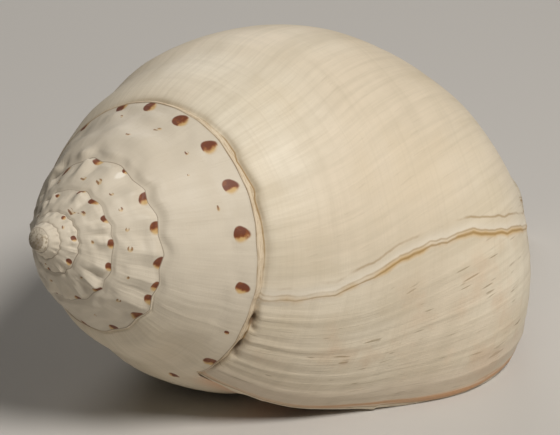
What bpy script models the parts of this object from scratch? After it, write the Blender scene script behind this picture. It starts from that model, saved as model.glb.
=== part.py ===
"""Chank shell: one right-handed spiral shell, lying on its aperture.

The shell is worked out in its own axes, in millimetres: r is the distance from
the axis, d the depth down the axis from the spire, and turn the growth in whorls,
0 at the lip and negative towards the apex. A row runs across a whorl: 0 is the
suture above it, 1 the suture below it, and 3 the end of the siphonal canal.
"""

import math

import bpy
import numpy as np

MM = 0.001

# Suture line: radius and depth at the lip, and how much each grows in one turn.
SUTURE_RADIUS = 24.5
SUTURE_RADIUS_GROWTH = 1.58
SUTURE_DEPTH = 29.2
SUTURE_DEPTH_GROWTH = 2.06

# How far the suture strays from that line, as a share of the whorl's height.
SUTURE_DRIFT = {-6.5: 0, -4: -0.03, -3: -0.07, -2: 0.075, -1.5: 0.02, -1.25: -0.03, -1: 0.02,
                -0.75: -0.01, -0.5: 0.19, -0.25: 0.06, 0: 0.047, 0.5: 0.03, 1: -0.07}

# The spire narrows to a worn nipple that stands up from it, and two whorls are flatter on one side.
SPIRE_TURNS = 6.4
SPIRE_NARROWING = 0.2
NARROW_TURNS = (-4.2, -2.0)
FLAT_SIDE_TURNS = (-2.64, -1.64)
FLAT_SIDE_WIDTH = 0.16
FLAT_SIDE_SHARE = 0.12
NIPPLE_RADIUS = 1.6
NIPPLE_RISE = 2.4
NIPPLE_TURNS = (-6.2, -2.9)
APEX_DOME = 0.25

# Rows where the profile of a whorl has its stations.
STATION_ROWS = np.array([0, 0.35, 0.7, 1.0, 1.4, 1.8, 2.2, 2.6, 3.0])
ROW_STEP = 0.02

# In the spire the outside of a whorl follows its own stations alone, whatever lies below it.
SPIRE_STATIONS = 4
SPIRE_PROFILE_TURNS = (-1.6, -1.1)

# Bulge of the first three stations past the straight line between two sutures.
SPIRE_BULGE = (0.04, 0.005, 0.0)
BODY_BULGE = (0.055, 0.08, 0.08)

# Lower stations at the lip: radius, its growth, depth, its growth, radius of the columella.
LOWER_STATIONS = ((40.0, 1.38, 72.2, 1.43, 0.0),
                  (35.0, 1.64, 87.8, 1.34, 6.0),
                  (21.0, 1.65, 102.0, 1.12, 5.5),
                  (13.5, 1.90, 115.0, 1.02, 5.2),
                  (10.5, 2.10, 128.0, 1.01, 4.6))
COLUMELLA_TURNS = (-1.35, -0.72)

# The outer lip flares a little, and its lower part stands back from the suture.
LIP_FLARE = 0.13
FLARE_TURNS = 0.35
LIP_SWEEP_DEGREES = {0: 0, 0.5: -9, 1.0: -23, 1.5: -37, 2.0: -42, 3.0: -49}
SWEEP_TURNS = 0.6
LIP_ANGLE = math.radians(78)

# Blunt knobs above the suture of the early whorls, which the suture bends round.
KNOBS_PER_TURN = 16
KNOB_HEIGHT = {-6: 0.10, -3: 0.12, -2.4: 0.075, -2: 0.045}
KNOB_ROW = 0.78
KNOB_WIDTH = 0.34
KNOB_TURNS = (-2.2, -1.7)
KNOB_DRIFT = 0.07

# The hollow inside: wall, how far in it is open, and where its walls meet.
WALL = 3.2
WALL_GROWTH = 1.45
WALL_FULL_TURN = -0.3
CANAL_WALL_SHARE = 0.75
CANAL_WALL_ROWS = (2.0, 2.8)
CAVITY_TURNS = 1.0
CANAL_CLOSES = -0.5
CORNER_ROW = 1.16
INNER_FIRST_ROW = 0.34
DEEP_END_ROW = 2.15
CLOSED_END_CLEARANCE = 2.0
LEAST_CLEARANCE = 0.4
HOLLOW_SHARE = 0.4
CLOSING_POWER = 0.6

# Folds on the columella, inside the mouth.
FOLD_ROWS = (1.87, 2.01, 2.15)
FOLD_HEIGHT = 1.3
FOLD_FADE_TURNS = 0.06

# Mesh: columns in one turn, rows above the suture, rows across the lip's edge.
COLUMNS = 48
SPIRE_ROWS = 5
LIP_ROWS = 2
LOW_ROWS = (1.33, 1.5, 1.66, 1.8, 1.87, 1.94, 2.01, 2.08, 2.15, 2.22, 2.4, 2.6, 2.8, 3.0)
LIP_ROUNDING = 0.25
TIP_ROUNDING = 0.5

# Rest: the way down in the shell's axes, how far down the surface is, and the origin.
DOWN = np.array((-0.217, 0.927, 0.306))
REST_DISTANCE = 43.15
ORIGIN_ALONG = 60.74
ORIGIN_ACROSS = -5.55


def smooth(x):
    x = np.clip(x, 0, 1)
    return x * x * (3 - 2 * x)


def spline_weights(knots, at):
    """Weight of each knot's value in a natural cubic spline read at the given places."""
    count = len(knots)
    gap = np.diff(knots)
    left = np.zeros((count, count))
    right = np.zeros((count, count))
    left[0, 0] = left[-1, -1] = 1
    for i in range(1, count - 1):
        left[i, i - 1:i + 2] = gap[i - 1], 2 * (gap[i - 1] + gap[i]), gap[i]
        right[i, i - 1:i + 2] = 6 / gap[i - 1], -6 / gap[i - 1] - 6 / gap[i], 6 / gap[i]
    curvature = np.linalg.solve(left, right)
    at = np.clip(np.asarray(at, float), knots[0], knots[-1])
    k = np.clip(np.searchsorted(knots, at, side="right") - 1, 0, count - 2)
    a = ((knots[k + 1] - at) / gap[k])[..., None]
    b = 1 - a
    unit = np.eye(count)
    bend = ((a ** 3 - a) * curvature[k] + (b ** 3 - b) * curvature[k + 1]) * (gap[k] ** 2 / 6)[..., None]
    return a * unit[k] + b * unit[k + 1] + bend


def along(table, at):
    knots = np.array(sorted(table), float)
    return spline_weights(knots, at) @ np.array([table[key] for key in sorted(table)], float)


def before(turns, turn):
    """1 before the first of two turns, 0 after the second, and smooth between them."""
    start, end = turns
    return smooth((end - turn) / (end - start))


def knob_wave(turn):
    return 0.5 + 0.5 * np.cos(2 * math.pi * KNOBS_PER_TURN * turn)


def even_coil(turn):
    flat_side = sum(np.exp(-((turn - middle) / FLAT_SIDE_WIDTH) ** 2) for middle in FLAT_SIDE_TURNS)
    share = 1 - SPIRE_NARROWING * before(NARROW_TURNS, turn) - FLAT_SIDE_SHARE * flat_side
    radius = SUTURE_RADIUS * SUTURE_RADIUS_GROWTH ** turn * share
    depth = SUTURE_DEPTH * SUTURE_DEPTH_GROWTH ** turn - NIPPLE_RISE * before(NIPPLE_TURNS, turn)
    return (radius ** 4 + NIPPLE_RADIUS ** 4) ** 0.25, depth


def suture(turn):
    radius, depth = even_coil(turn)
    radius_before, depth_before = even_coil(turn - 1)
    drift = along(SUTURE_DRIFT, turn) + KNOB_DRIFT * (knob_wave(turn) - 0.5) * before(KNOB_TURNS, turn - 1)
    return radius + drift * (radius - radius_before), depth + drift * (depth - depth_before)


def stations(turn):
    """Radius and depth of every station of the profile, for each turn."""
    r0, d0 = suture(turn)
    r1, d1 = suture(turn + 1)
    dr, dd = r1 - r0, d1 - d0
    body = smooth(turn + 1)
    radii, depths = [r0], [d0]
    for row, spire, full in zip(STATION_ROWS[1:4], SPIRE_BULGE, BODY_BULGE):
        bulge = spire + (full - spire) * body
        radii.append(r0 + row * dr + bulge * dd)
        depths.append(d0 + row * dd - bulge * dr)
    flare = 1 + LIP_FLARE * smooth(turn / FLARE_TURNS + 1)
    start, end = COLUMELLA_TURNS
    free = smooth((turn - start) / (end - start))
    for i, (radius, radius_growth, depth, depth_growth, core) in enumerate(LOWER_STATIONS):
        spread = radius * radius_growth ** turn * (flare if i < 3 else 1)
        radii.append(core + (spread - core) * free if core else spread)
        depths.append(depth * depth_growth ** turn)
    return np.stack(radii, -1), np.stack(depths, -1)


def sweep(turn, row):
    ramp = smooth(turn / SWEEP_TURNS + 1)
    return np.radians(along(LIP_SWEEP_DEGREES, row)) * ramp[:, None]


def profile_weights(turn, row):
    """How much each station counts, for each turn and each of its rows."""
    whole = spline_weights(STATION_ROWS, row)
    own = np.zeros_like(whole)
    own[..., :SPIRE_STATIONS] = spline_weights(STATION_ROWS[:SPIRE_STATIONS], row)
    share = before(SPIRE_PROFILE_TURNS, turn)[:, None] * (row <= 1)
    return whole + share[..., None] * (own - whole)


def outer_wall(turn, row):
    """Radius, depth and angle of the outside, for each turn and each of its rows."""
    weights = profile_weights(turn, row)
    radii, depths = stations(turn)
    radius = np.einsum("grn,gn->gr", weights, radii)
    depth = np.einsum("grn,gn->gr", weights, depths)
    return radius, depth, LIP_ANGLE + 2 * math.pi * turn[:, None] + sweep(turn, row)


def raised(turn, row, height):
    """The outer wall pushed out along its own normal."""
    r_up, d_up, _ = outer_wall(turn, row - ROW_STEP)
    r_down, d_down, _ = outer_wall(turn, row + ROW_STEP)
    radius, depth, angle = outer_wall(turn, row)
    tangent_r, tangent_d = r_down - r_up, d_down - d_up
    length = np.hypot(tangent_r, tangent_d)
    return radius + height * tangent_d / length, depth - height * tangent_r / length, angle


def knobs(turn, row):
    r0, d0 = suture(turn)
    r1, d1 = suture(turn + 1)
    share = np.interp(turn, sorted(KNOB_HEIGHT), [KNOB_HEIGHT[key] for key in sorted(KNOB_HEIGHT)])
    crest = share * np.hypot(r1 - r0, d1 - d0) * before(KNOB_TURNS, turn) * knob_wave(turn)
    bell = np.exp(-((row - KNOB_ROW) / KNOB_WIDTH) ** 2) * smooth(row * 4) * smooth((1 - row) * 4)
    return crest[:, None] * bell


def folds(turn, even_row):
    inside = smooth((-1 - turn) / FOLD_FADE_TURNS)[:, None]
    gap = FOLD_ROWS[1] - FOLD_ROWS[0]
    crest = sum(smooth(1 - 2 * np.abs(even_row - row) / gap) for row in FOLD_ROWS)
    return FOLD_HEIGHT * inside * crest


def place(radius, depth, angle):
    return np.stack([radius * np.cos(angle), radius * np.sin(angle), depth], -1)


def end_rows(turn):
    """Row where the hollow ends, for the near wall that lies one turn further in."""
    depth_in = np.clip((CANAL_CLOSES - turn) / (CAVITY_TURNS + CANAL_CLOSES), 0, 1)
    return 3 - (3 - DEEP_END_ROW) * smooth(depth_in) ** CLOSING_POWER


def mouth_rows(turn, rows):
    """Rows of the near wall, drawn together towards the end of the hollow."""
    grid = np.repeat(rows[None], len(turn), 0)
    share = (end_rows(turn + 1) - CORNER_ROW) / (3 - CORNER_ROW)
    return np.where(grid > CORNER_ROW, CORNER_ROW + (grid - CORNER_ROW) * share[:, None], grid)


def inner_wall(turn, count):
    """The far wall of the hollow: the outside moved in by the wall, down to the columella."""
    rows = np.linspace(INNER_FIRST_ROW, 3, count)
    start, end = CANAL_WALL_ROWS
    thin = 1 - (1 - CANAL_WALL_SHARE) * smooth((rows - start) / (end - start))
    grid = np.repeat(rows[None], len(turn), 0)
    wall = WALL * WALL_GROWTH ** np.minimum(turn - WALL_FULL_TURN, 0)[:, None] * thin[None]
    radius, depth, angle = raised(turn, grid, -wall)
    whole_rows = np.repeat(np.arange(0, 3.01, ROW_STEP)[None], len(turn), 0)
    outer_radius, outer_depth, _ = outer_wall(turn, whole_rows)
    near_rows = np.repeat(np.arange(1, 3.01, ROW_STEP)[None], len(turn), 0)
    near_radius, near_depth, _ = outer_wall(turn - 1, near_rows)
    ends = end_rows(turn)
    for k in range(len(turn)):
        clearance = LEAST_CLEARANCE
        if turn[k] < CANAL_CLOSES:
            bottom = np.interp(ends[k], near_rows[k], near_depth[k])
            middle = depth[k, count // 3]
            squeeze = (bottom - middle) / (depth[k, -1] - middle)
            moved = np.where(depth[k] > middle, middle + (depth[k] - middle) * squeeze, depth[k])
            low = np.interp(moved, depth[k], radius[k])
            radius[k] = np.where(depth[k] > middle, low, radius[k])
            depth[k] = moved
            share = np.clip((moved - middle) / (bottom - middle), 0, 1)
            clearance = np.maximum(CLOSED_END_CLEARANCE * (1 - share), LEAST_CLEARANCE)
        core = np.interp(depth[k], near_depth[k], near_radius[k])
        room = np.interp(depth[k], outer_depth[k], outer_radius[k]) - core
        radius[k] = np.maximum(radius[k], core + np.minimum(clearance, HOLLOW_SHARE * room))
    return place(radius, depth, angle)


class Skin:
    """Points and faces of one closed surface."""

    def __init__(self):
        self.points = []
        self.faces = []

    def point(self, place_mm):
        self.points.append(np.asarray(place_mm, float))
        return len(self.points) - 1

    def face(self, *corners):
        kept = [c for n, c in enumerate(corners) if c != corners[n - 1]]
        if len(kept) > 2:
            self.faces.append(kept)

    def fan(self, loop, lift):
        centre = self.point(np.mean([self.points[k] for k in loop], 0) + np.array((0, 0, lift)))
        for n, corner in enumerate(loop):
            self.face(centre, corner, loop[(n + 1) % len(loop)])

    def join(self, line, other):
        """Close the gap between two lines of points that share both their ends."""
        i = j = 0
        while i < len(line) - 1 or j < len(other) - 1:
            depth = self.points[line[min(i + 1, len(line) - 1)]][2]
            depth_across = self.points[other[min(j + 1, len(other) - 1)]][2]
            if j == len(other) - 1 or (i < len(line) - 1 and depth < depth_across):
                self.face(line[i + 1], line[i], other[j])
                i += 1
            else:
                self.face(line[i], other[j], other[j + 1])
                j += 1


def outside(skin, rows, first, last_inside):
    """Spire, body whorl and the near wall inside the mouth; neighbouring turns share the suture."""
    top, corner, end = SPIRE_ROWS, SPIRE_ROWS + LIP_ROWS, len(rows) - 1
    columns = range(first, 1)
    turn = np.array([i / COLUMNS for i in columns])
    grid = mouth_rows(turn, rows)
    height = knobs(turn, grid) + folds(turn, rows[None])
    points = place(*raised(turn, grid, height))

    def shows(i, j):
        return i >= -COLUMNS or j < top or (j >= corner and i >= last_inside - COLUMNS)

    ids = {}
    for k, i in enumerate(columns):
        for j in range(end + 1):
            if shows(i, j) and (i, j) != (-COLUMNS, top):
                ids[i, j] = skin.point(points[k, j])
    for i in range(first, -COLUMNS + 1):
        ids[i, top] = ids[i + COLUMNS, 0]
    for i in range(first, 0):
        for j in range(end):
            if shows(i, j):
                skin.face(ids[i, j], ids[i + 1, j], ids[i + 1, j + 1], ids[i, j + 1])
    return ids


def hollow(skin, near, rows, last_inside, canal_closes):
    """The far wall of the hollow, joined to the near wall at its top and, further in, its foot."""
    corner, end = SPIRE_ROWS + LIP_ROWS, len(rows) - 1
    columns = range(last_inside, 1)
    points = inner_wall(np.array([i / COLUMNS for i in columns]), end + 1)
    ids = {}
    for k, i in enumerate(columns):
        for j in range(end + 1):
            if j == 0:
                ids[i, j] = near[i - COLUMNS, corner]
            elif j == end and i <= canal_closes:
                ids[i, j] = near[i - COLUMNS, end]
            else:
                ids[i, j] = skin.point(points[k, j])
    for i in range(last_inside, 0):
        for j in range(end):
            skin.face(ids[i, j], ids[i, j + 1], ids[i + 1, j + 1], ids[i + 1, j])
    return ids


def between(skin, a, b, share, bulge):
    start, finish = skin.points[a], skin.points[b]
    middle = start + (finish - start) * share
    return skin.point(middle + bulge * math.sin(math.pi * share))


def lip_edge(skin, near, far, end):
    """The rounded edge of the outer lip, from the suture to the canal."""
    ids = {}
    for j in range(end + 1):
        a, b = near[0, j], far[0, j]
        thickness = np.linalg.norm(skin.points[b] - skin.points[a])
        angle = math.atan2(skin.points[a][1], skin.points[a][0])
        forward = np.array((-math.sin(angle), math.cos(angle), 0)) * LIP_ROUNDING * thickness
        for k in range(LIP_ROWS + 1):
            if k == 0:
                ids[j, k] = a
            elif k == LIP_ROWS:
                ids[j, k] = b
            elif j == 0:
                ids[j, k] = near[-COLUMNS, SPIRE_ROWS + k]
            else:
                ids[j, k] = between(skin, a, b, k / LIP_ROWS, forward)
    for j in range(end):
        for k in range(LIP_ROWS):
            skin.face(ids[j, k], ids[j, k + 1], ids[j + 1, k + 1], ids[j + 1, k])
    return ids


def canal_end(skin, near, far, edge, end, canal_closes):
    """The end of the canal: a rounded ring around the opening, and the end of the columella."""
    ids = {}
    for i in range(canal_closes, 1):
        for k in range(LIP_ROWS + 1):
            if k == 0:
                ids[i, k] = near[i, end]
            elif k == LIP_ROWS:
                ids[i, k] = far[i, end]
            elif i == 0:
                ids[i, k] = edge[end, k]
            else:
                lift = np.array((0, 0, TIP_ROUNDING))
                ids[i, k] = between(skin, near[i, end], far[i, end], k / LIP_ROWS, lift)
    for i in range(canal_closes, 0):
        for k in range(LIP_ROWS):
            skin.face(ids[i, k], ids[i + 1, k], ids[i + 1, k + 1], ids[i, k + 1])
    columella = [near[i, end] for i in range(canal_closes - COLUMNS, canal_closes + 1)]
    skin.fan(columella + [ids[canal_closes, k] for k in range(1, LIP_ROWS)], TIP_ROUNDING)


def shell_skin():
    rows = np.concatenate([np.linspace(0, 1, SPIRE_ROWS + 1),
                           np.linspace(1, CORNER_ROW, LIP_ROWS + 1)[1:], LOW_ROWS])
    end = len(rows) - 1
    corner = SPIRE_ROWS + LIP_ROWS
    first = -round(SPIRE_TURNS * COLUMNS)
    last_inside = -round(CAVITY_TURNS * COLUMNS)
    canal_closes = round(CANAL_CLOSES * COLUMNS)
    skin = Skin()
    near = outside(skin, rows, first, last_inside)
    far = hollow(skin, near, rows, last_inside, canal_closes)
    edge = lip_edge(skin, near, far, end)
    canal_end(skin, near, far, edge, end, canal_closes)
    deepest = [far[last_inside, j] for j in range(end + 1)]
    skin.join(deepest, [near[last_inside - COLUMNS, j] for j in range(corner, end + 1)])
    apex = [near[i, 0] for i in range(first, first + COLUMNS + 1)]
    apex += [near[first, j] for j in range(SPIRE_ROWS - 1, 0, -1)]
    skin.fan(apex[::-1], -APEX_DOME)
    return skin


def lay_down(points):
    """Turn the shell onto its aperture, apex towards -X, with small worn flats where it rests."""
    down = DOWN / np.linalg.norm(DOWN)
    axis = np.array((0.0, 0.0, 1.0))
    forward = axis - down * down[2]
    forward /= np.linalg.norm(forward)
    side = np.cross(-down, forward)
    x = points @ forward - ORIGIN_ALONG
    y = points @ side - ORIGIN_ACROSS
    z = np.maximum(REST_DISTANCE - points @ down, 0)
    return np.stack([x, y, z], -1) * MM


def ivory():
    material = bpy.data.materials.new("shell_ivory")
    material.use_nodes = True
    surface = material.node_tree.nodes["Principled BSDF"]
    surface.inputs["Base Color"].default_value = (0.72, 0.62, 0.47, 1)
    surface.inputs["Roughness"].default_value = 0.35
    surface.inputs["Metallic"].default_value = 0
    return material


def build_shell():
    skin = shell_skin()
    mesh = bpy.data.meshes.new("shell")
    mesh.from_pydata(lay_down(np.array(skin.points)).tolist(), [], skin.faces)
    mesh.materials.append(ivory())
    mesh.validate()
    shell = bpy.data.objects.new("shell", mesh)
    bpy.context.scene.collection.objects.link(shell)
    return shell


def main():
    for old in list(bpy.data.objects):
        bpy.data.objects.remove(old, do_unlink=True)
    build_shell()


main()
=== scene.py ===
"""The looks of the chank shell: its fine surface, its marks and colours, the light and the camera.

The shell is worked out in its own axes, in millimetres: r is the distance from
the axis, d the depth down the axis from the spire, and turn the growth in whorls,
0 at the lip and negative towards the apex. A row runs across a whorl: 0 is the
suture above it, 1 the suture below it, and 3 the end of the siphonal canal.
"""

import math

import bpy
import numpy as np
from mathutils import Matrix, Vector

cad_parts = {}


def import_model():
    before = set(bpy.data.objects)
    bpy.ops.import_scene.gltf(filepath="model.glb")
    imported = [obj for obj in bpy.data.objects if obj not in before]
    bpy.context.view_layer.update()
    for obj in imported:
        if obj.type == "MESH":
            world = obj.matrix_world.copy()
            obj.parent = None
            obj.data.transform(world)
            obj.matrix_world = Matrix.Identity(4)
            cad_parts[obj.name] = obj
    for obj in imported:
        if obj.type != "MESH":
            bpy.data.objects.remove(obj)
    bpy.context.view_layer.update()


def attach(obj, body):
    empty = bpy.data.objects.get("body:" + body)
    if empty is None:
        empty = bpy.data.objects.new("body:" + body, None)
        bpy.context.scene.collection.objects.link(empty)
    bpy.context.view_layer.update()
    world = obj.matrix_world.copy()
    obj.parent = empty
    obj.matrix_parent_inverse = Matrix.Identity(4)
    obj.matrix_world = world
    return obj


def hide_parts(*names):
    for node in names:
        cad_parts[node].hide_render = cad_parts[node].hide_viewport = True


MM = 0.001

# Suture line: radius and depth at the lip, and how much each grows in one turn.
SUTURE_RADIUS = 24.5
SUTURE_RADIUS_GROWTH = 1.58
SUTURE_DEPTH = 29.2
SUTURE_DEPTH_GROWTH = 2.06

# How far the suture strays from that line, as a share of the whorl's height.
SUTURE_DRIFT = {
    -6.5: 0, -4: -0.03, -3: -0.07, -2: 0.075, -1.5: 0.02, -1.25: -0.03, -1: 0.02,
    -0.75: -0.01, -0.5: 0.19, -0.25: 0.06, 0: 0.047, 0.5: 0.03, 1: -0.07
}

# The spire narrows to a worn nipple that stands up from it, and two whorls are flatter on one side.
SPIRE_TURNS = 6.4
SPIRE_NARROWING = 0.2
NARROW_TURNS = (-4.2, -2.0)
FLAT_SIDE_TURNS = (-2.64, -1.64)
FLAT_SIDE_WIDTH = 0.16
FLAT_SIDE_SHARE = 0.12
NIPPLE_RADIUS = 1.35
NIPPLE_RISE = 2.4
NIPPLE_TURNS = (-6.2, -2.9)
APEX_DOME = 0.12
START_TAPER = 0.85
TAPER_TURNS = (-6.4, -5.6)

# Rows where the profile of a whorl has its stations.
STATION_ROWS = np.array([0, 0.35, 0.7, 1.0, 1.4, 1.8, 2.2, 2.6, 3.0])
ROW_STEP = 0.02

# In the spire the outside of a whorl follows its own stations alone, whatever lies below it.
SPIRE_STATIONS = 4
SPIRE_PROFILE_TURNS = (-1.6, -1.1)

# Bulge of the first three stations past the straight line between two sutures.
SPIRE_BULGE = (0.04, 0.005, 0.0)
BODY_BULGE = (0.055, 0.08, 0.08)
BODY_TURNS = (-1, 0)

# Lower stations at the lip: radius, its growth, depth, its growth, radius of the columella.
LOWER_STATIONS = (
    (40.0, 1.38, 72.2, 1.43, 0.0),
    (35.0, 1.64, 87.8, 1.34, 6.0),
    (21.0, 1.65, 102.0, 1.12, 5.5),
    (13.5, 1.90, 115.0, 1.02, 5.2),
    (10.5, 2.10, 128.0, 1.01, 4.6)
)
COLUMELLA_TURNS = (-1.35, -0.72)

# The outer lip flares a little, and its lower part stands back from the suture.
LIP_FLARE = 0.13
FLARE_TURNS = (-0.35, 0)
FLARED_STATIONS = 3
LIP_SWEEP_DEGREES = {0: 0, 0.5: -9, 1.0: -23, 1.5: -37, 2.0: -42, 3.0: -49}
SWEEP_TURNS = (-0.6, 0)
LIP_ANGLE = math.radians(78)

# Uneven waves: slowest and fastest rate, how many are added up, and seed.
WAVES = {
    "knob spacing": (2, 7, 4, 51),
    "knob height": (3, 9, 4, 52),
    "suture wobble": (7, 26, 6, 53),
    "growth line bend": (0.6, 2.2, 3, 11),
    "coarse growth lines": (24, 60, 9, 5),
    "fine growth lines": (60, 120, 9, 6),
    "scar bend": (1.5, 6, 5, 61),
    "scar jag": (9, 24, 5, 63),
    "scar height": (3, 11, 5, 62),
    "swells round": (1.7, 7, 6, 21),
    "swells across": (0.5, 2.5, 4, 22),
    "lumps round": (9, 24, 6, 23),
    "lumps across": (1.2, 4, 4, 24),
    "cord drift": (1, 5, 4, 31),
    "cords": (9, 16, 5, 32),
    "lip edge": (1.2, 6, 5, 41)
}

# Blunt knobs above the suture of the early whorls, which the next suture bends round.
KNOBS_PER_TURN = 16
KNOB_HEIGHT = {-6: 0.03, -4: 0.08, -3.3: 0.14, -2.4: 0.105, -2: 0.07, 0: 0.05}
KNOB_ROW = 0.78
KNOB_WIDTH = 0.34
KNOB_TURNS = (-2.2, -1.7)
KNOB_DRIFT = 0.085
KNOB_SPACING_DRIFT = 0.13
KNOB_SHARPNESS = 1.6
KNOB_UNEVENNESS = 0.45
KNOB_RISE_ROWS = (0, 1 / 3)
KNOB_FALL_ROWS = (0.8, 1)

# The last whorls' suture is a little uneven, but not where the lip meets it.
SUTURE_WOBBLE = 0.007
WOBBLE_STARTS = (-1.2, -0.9)
WOBBLE_ENDS = (-0.02, 0)

# The hollow inside: its wall in mm, how many turns deep it is and how many of them are drawn.
WALL = 3.2
WALL_GROWTH = 1.45
WALL_FULL_TURN = -0.3
CANAL_WALL_SHARE = 0.75
CANAL_WALL_ROWS = (2.0, 2.8)
CAVITY_TURNS = 1.0
HOLLOW_TURNS_DRAWN = 0.5
CANAL_CLOSES = -0.5

# Rows of the hollow: where its walls meet, the far wall's first and middle row, and its foot further in.
CORNER_ROW = 1.16
INNER_FIRST_ROW = 0.34
MIDDLE_ROW = 1.23
DEEP_END_ROW = 2.15
CLOSING_POWER = 0.6
LAST_ROW = 3

# The far wall keeps clear of the columella, by so many mm or by a share of the room between them.
CLOSED_END_CLEARANCE = 2.0
LEAST_CLEARANCE = 0.4
HOLLOW_SHARE = 0.4

# Folds on the columella, inside the mouth.
FOLD_ROWS = (1.87, 2.01, 2.15)
FOLD_HEIGHT = 1.3
FOLD_TURNS = (-1.06, -1)

# Mesh: columns in one turn, closest together near the lip and the growth scar.
COLUMNS = 220
COLUMN_CROWDING = 0.5
CROWDED_AT = 0.9
LIP_ROWS = 6
LOW_ROW_COUNT = 48
BAND_ROWS = (
    0, 0.006, 0.012, 0.018, 0.025, 0.032, 0.04, 0.048, 0.056, 0.065, 0.075, 0.085, 0.095,
    0.11, 0.13
)
SPIRE_ROW_COUNT = 14
LAST_SPIRE_ROWS = (0.9, 0.93, 0.96, 0.985, 1.0)
LIP_ROUNDING = 0.25
LIP_UNEVENNESS = 0.35
TIP_ROUNDING = 0.5

# Where the colour of the mouth begins: in turns, and in rows below the suture.
MOUTH_TURNS = (-1.015, -0.965)
MOUTH_ROWS = (1.0, 1.1)

# Rest: the way down in the shell's axes, how far down the surface is, and the origin.
DOWN = np.array((-0.217, 0.927, 0.306))
REST_DISTANCE = 43.15
ORIGIN_ALONG = 60.74
ORIGIN_ACROSS = -5.55

# The band where a whorl's edge is laid on the one before, in mm.
BAND_WIDTH = {
    -1.15: 0.15, -0.95: 0.7, -0.6: 0.7, -0.42: 0.8, -0.31: 1.2, -0.3: 0.75, -0.26: 1.2,
    -0.25: 0.8, -0.2: 1.3, -0.13: 0.9, -0.11: 1.3, -0.07: 1.1, -0.02: 0.6, 1: 0.6
}
BAND_HEIGHT = 0.2
BAND_EDGE = 0.3
NO_BAND_WIDTH = 0.14
FULL_BAND_WIDTH = 0.74
BAND_TURNS = (-0.01, 0)

# The groove under the band: place and width in widths of the band, and the dip of the shoulder below it.
GROOVE_DEPTH = 0.42
GROOVE_PLACE = 1.25
GROOVE_WIDTH = 0.4
SHOULDER_DIP = 0.3
SHOULDER_WIDTH = 3.2

# Early whorls swell below the suture: height and places as shares of the whorl's height.
EARLY_SWELLING = 0.03
SWELLING_TURNS = (-1.3, -0.9)
SWELLING_START = 0.12
SWELLING_PLACE = 0.15
SWELLING_WIDTH = 0.35

# Growth lines: height in mm everywhere, more of it after the scar, and more again near the suture.
LINE_HEIGHTS = {
    "coarse growth lines": (0.010, 0.018, 0.055),
    "fine growth lines": (0.012, 0.016, 0.055)
}
LINE_BEND = 0.0015
LINE_START = 3
LINE_REACH = 14
YOUNG_TURNS = (-0.14, -0.125)

# Growth scar, where the shell once stopped and healed: its turn on each row.
SCAR_TURN = {
    0: -0.136, 0.45: -0.137, 0.85: -0.145, 1.1: -0.139, 1.35: -0.123, 1.6: -0.108,
    2.0: -0.102, 3: -0.1
}
SCAR_BEND = 0.0011
SCAR_JAG = 0.0005
SCAR_HEIGHT = 0.13
SCAR_WIDTH = 0.45
SCAR_UNEVENNESS = 0.5
SCAR_FADE_ROWS = (1.8, 2.6)

# The younger shell starts a little lower at the scar, and comes up again: all in mm.
SCAR_STEP = 0.13
SCAR_STEP_START = 0.36
SCAR_STEP_WIDTH = 0.9
SCAR_STEP_REACH = 5

# Faint ridges on the older side of the scar: turns and mm back from it, height and width in mm.
OLDER_SCAR_TURNS = 0.013
FAINT_RIDGES = ((OLDER_SCAR_TURNS, 0, 0.07, 0.5), (0, 0.9, 0.05, 0.35))

# A low ridge along the lip, and the worn edge in front of it, in mm.
LIP_RIDGE_TURN = -0.021
LIP_RIDGE_HEIGHT = 0.25
LIP_RIDGE_WIDTH = 1.2
LIP_WEAR = 0.35
LIP_WEAR_WIDTH = 1.0

# Pits under the suture below the scar: turn, mm from the suture, length and width in mm, depth in mm.
PITS = (
    (-0.122, 1.1, 1.3, 0.35, 0.4), (-0.106, 1.35, 1.3, 0.6, 1.3), (-0.096, 2.1, 0.6, 0.45, 0.6),
    (-0.085, 1.2, 0.9, 0.3, 0.4), (-0.066, 1.1, 1.6, 0.6, 1.4), (-0.054, 1.9, 0.9, 0.5, 0.6),
    (-0.035, 0.8, 1.4, 0.4, 0.5)
)
PIT_CLEARANCE = 0.8

# Slow swells in mm, and lumps of the early whorls as a share of the whorl's height.
SWELL_HEIGHT = 0.22
SWELL_SLANT = (0.05, 0.3)
SWELL_CLEARANCE = 4
SWELL_TURNS = (-3, -1.5)
LUMP_HEIGHT = 0.009
LUMP_SLANT = (0.02, 0.2)
LUMP_CLEARANCE = 1.5
LUMP_TURNS = (-1.4, -0.9)

# Faint threads that run along the whorl below its widest part.
CORD_HEIGHT = 0.05
CORD_DRIFT = 0.01
CORD_ROWS = (1.15, 1.55)

# Relief stops where the next whorl covers it, and inside the mouth.
COVERED_ROWS = (1 - 1 / 12, 1)
OPEN_TURNS = (-1, -0.98)

# A pale chip above the suture of the third whorl: turn, row, length and width in mm.
CHIP = (-2.357, 0.86, 0.5, 1.3)

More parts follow.
